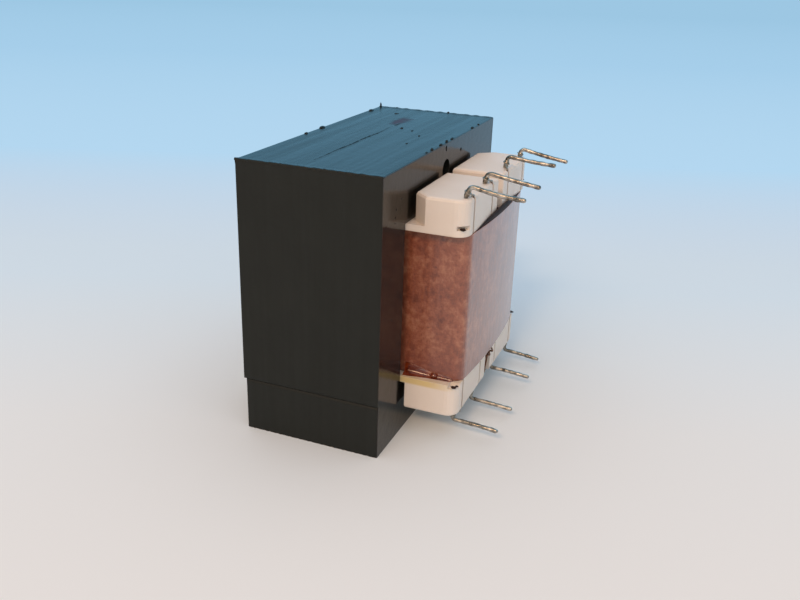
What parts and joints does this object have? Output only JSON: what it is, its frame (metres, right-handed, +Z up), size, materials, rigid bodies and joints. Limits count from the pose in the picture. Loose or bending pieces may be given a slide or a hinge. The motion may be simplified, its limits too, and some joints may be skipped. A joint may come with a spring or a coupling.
{
  "type": "pcb transformer",
  "caption": "Small mains transformer for a circuit board: black laminated core, wrapped coil on a moulded bobbin, and bent pins in two rows.",
  "frame": {"origin": "centre of the core's lower edge face, on which the transformer stands", "axes": "+X is the way the pins point, +Y runs along the core, and +Z is up"},
  "size_m": [0.0509, 0.057, 0.0475],
  "materials": {
    "core_varnish": "black varnish on laminations, satin on the stacked edges and glossy on the front",
    "nylon": "satin, off-white nylon",
    "enamelled_wire": "varnished copper wire",
    "insulation_film": "clear amber film",
    "pad_paper": "varnished kraft paper",
    "wrap_film": "brown varnished wrap, slightly glossy",
    "varnish": "glossy amber varnish",
    "tinned_wire": "tinned, slightly tarnished",
    "solder": "dull solder"
  },
  "bodies": {
    "root": {"e_laminations": "core_varnish", "i_laminations": "core_varnish", "bobbin": "nylon", "primary_winding": "enamelled_wire", "winding_insulation": "insulation_film", "secondary_winding": "enamelled_wire", "lead_pad": "pad_paper", "outer_wrap": "wrap_film", "varnish_fillet": "varnish", "pin_1": "tinned_wire", "lead_1": "enamelled_wire", "solder_1": "solder", "pin_2": "tinned_wire", "lead_2": "enamelled_wire", "solder_2": "solder", "pin_3": "tinned_wire", "lead_3": "enamelled_wire", "solder_3": "solder", "pin_4": "tinned_wire", "lead_4": "enamelled_wire", "solder_4": "solder", "pin_5": "tinned_wire", "lead_5": "enamelled_wire", "solder_5": "solder", "pin_6": "tinned_wire", "lead_6": "enamelled_wire", "solder_6": "solder", "pin_7": "tinned_wire", "lead_7": "enamelled_wire", "solder_7": "solder", "pin_8": "tinned_wire", "lead_8": "enamelled_wire", "solder_8": "solder"}
  },
  "joints": []
}
